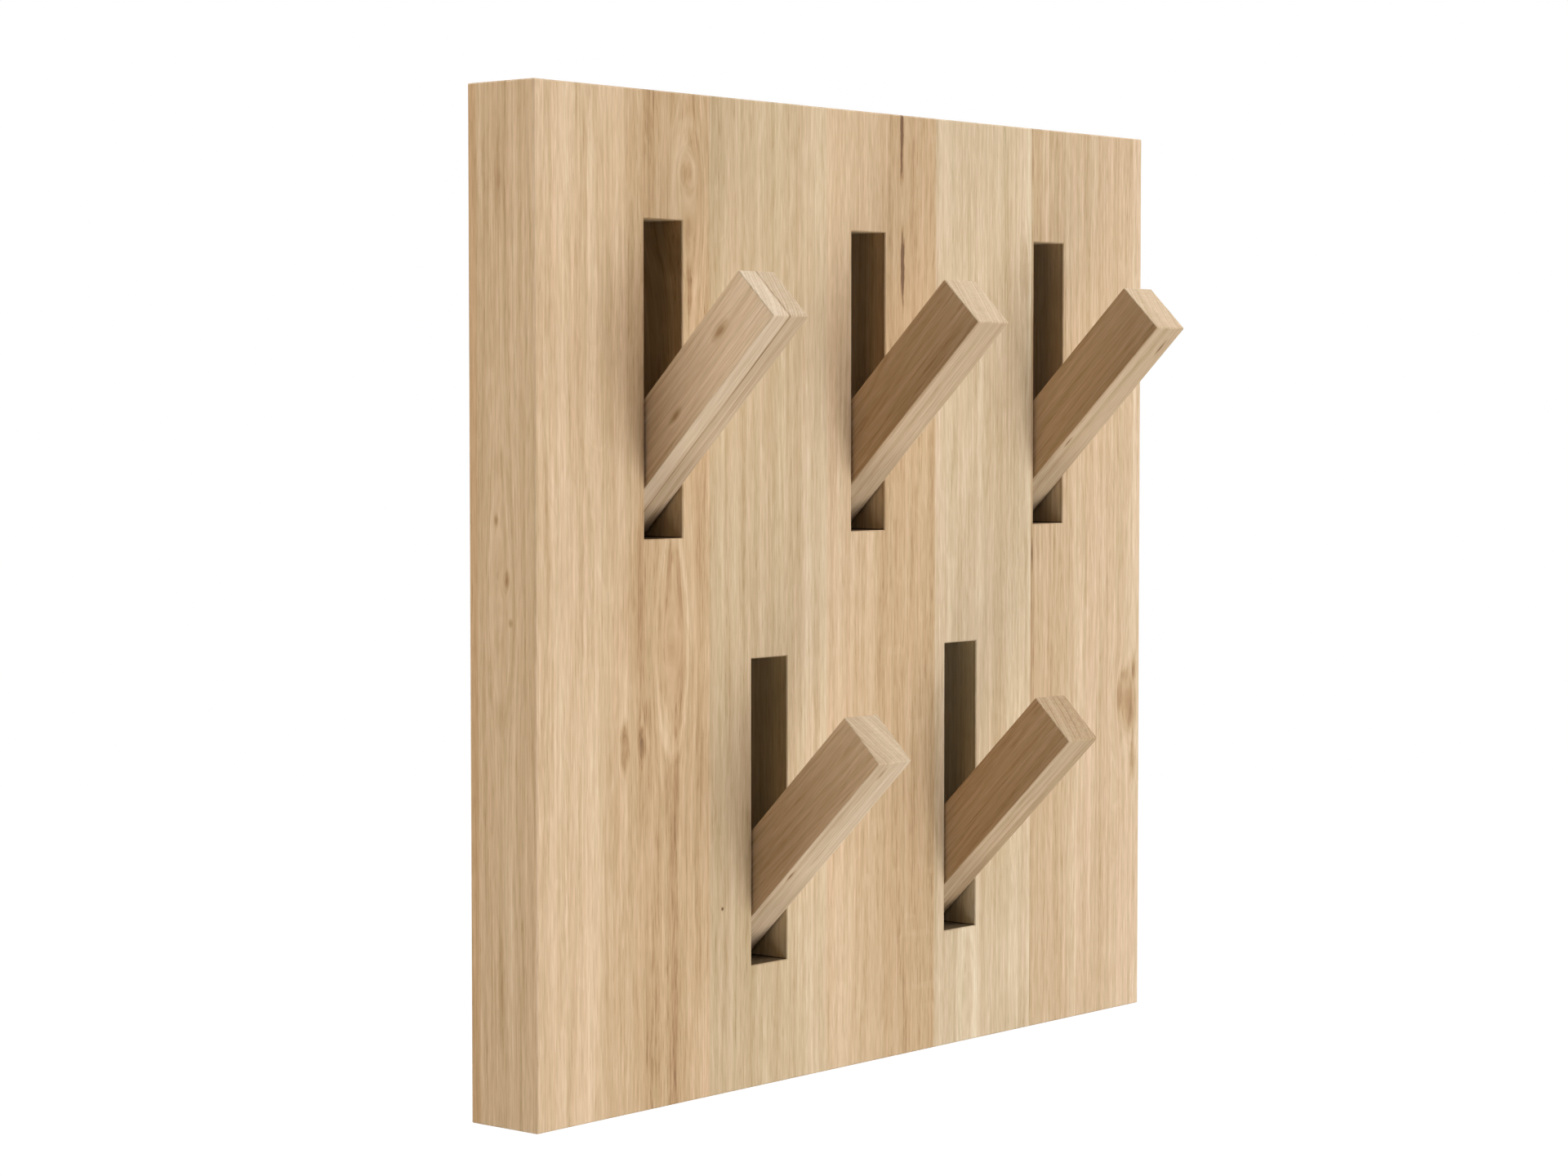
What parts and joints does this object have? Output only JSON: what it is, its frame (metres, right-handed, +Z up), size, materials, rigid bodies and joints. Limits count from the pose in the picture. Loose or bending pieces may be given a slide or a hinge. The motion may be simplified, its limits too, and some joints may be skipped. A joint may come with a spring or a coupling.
{
  "type": "wall hook rack",
  "caption": "Square oak wall rack of glued staves; square hook bars fold flush into blind slots, or lean out 45 degrees on hidden steel pins.",
  "frame": {"origin": "middle of the board's back face, which lies on the wall", "axes": "+X to the right as seen from the room, +Y into the wall, +Z up; hooks drawn open"},
  "size_m": [0.288, 0.0726, 0.288],
  "materials": {
    "oak_stave_1": "oiled oak, upright cathedral grain",
    "oak_stave_2": "oiled oak, upright straight grain",
    "oak_stave_3": "oiled oak, upright straight grain",
    "oak_stave_4": "oiled oak, pale upright grain",
    "oak_stave_5": "oiled oak, upright grain with a knot",
    "oak_hook_1": "oiled oak, grain along the bar, two small knots",
    "oak_hook_2": "oiled oak, grain along the bar",
    "oak_hook_3": "oiled oak, grain along the bar",
    "oak_hook_4": "oiled oak, pale, grain along the bar",
    "oak_hook_5": "oiled oak, tan, grain along the bar",
    "pin_steel": "drawn bright steel rod",
    "washer_fibre": "brown vulcanised fibre",
    "hanger_zinc": "zinc-plated pressed steel",
    "screw_steel": "zinc-plated screws"
  },
  "bodies": {
    "board": {"stave_1": "oak_stave_1", "stave_2": "oak_stave_2", "stave_3": "oak_stave_3", "stave_4": "oak_stave_4", "stave_5": "oak_stave_5", "pivot_pin_1": "pin_steel", "pivot_pin_2": "pin_steel", "pivot_pin_3": "pin_steel", "pivot_pin_4": "pin_steel", "pivot_pin_5": "pin_steel", "side_washers_1": "washer_fibre", "side_washers_2": "washer_fibre", "side_washers_3": "washer_fibre", "side_washers_4": "washer_fibre", "side_washers_5": "washer_fibre", "hanger_plate_left": "hanger_zinc", "hanger_plate_right": "hanger_zinc", "hanger_screws": "screw_steel"},
    "hook_1": {"hook_1": "oak_hook_1"},
    "hook_2": {"hook_2": "oak_hook_2"},
    "hook_3": {"hook_3": "oak_hook_3"},
    "hook_4": {"hook_4": "oak_hook_4"},
    "hook_5": {"hook_5": "oak_hook_5"}
  },
  "joints": [
    {"name": "hook_1_fold", "type": "hinge", "parent": "board", "child": "hook_1", "pos_m": [-0.092, -0.0165, 0.0365], "axis": [1, 0, 0], "range_deg": [-45, 0]},
    {"name": "hook_2_fold", "type": "hinge", "parent": "board", "child": "hook_2", "pos_m": [0, -0.0165, 0.0365], "axis": [1, 0, 0], "range_deg": [-45, 0]},
    {"name": "hook_3_fold", "type": "hinge", "parent": "board", "child": "hook_3", "pos_m": [0.092, -0.0165, 0.0365], "axis": [1, 0, 0], "range_deg": [-45, 0]},
    {"name": "hook_4_fold", "type": "hinge", "parent": "board", "child": "hook_4", "pos_m": [-0.046, -0.0165, -0.0895], "axis": [1, 0, 0], "range_deg": [-45, 0]},
    {"name": "hook_5_fold", "type": "hinge", "parent": "board", "child": "hook_5", "pos_m": [0.046, -0.0165, -0.0895], "axis": [1, 0, 0], "range_deg": [-45, 0]}
  ]
}
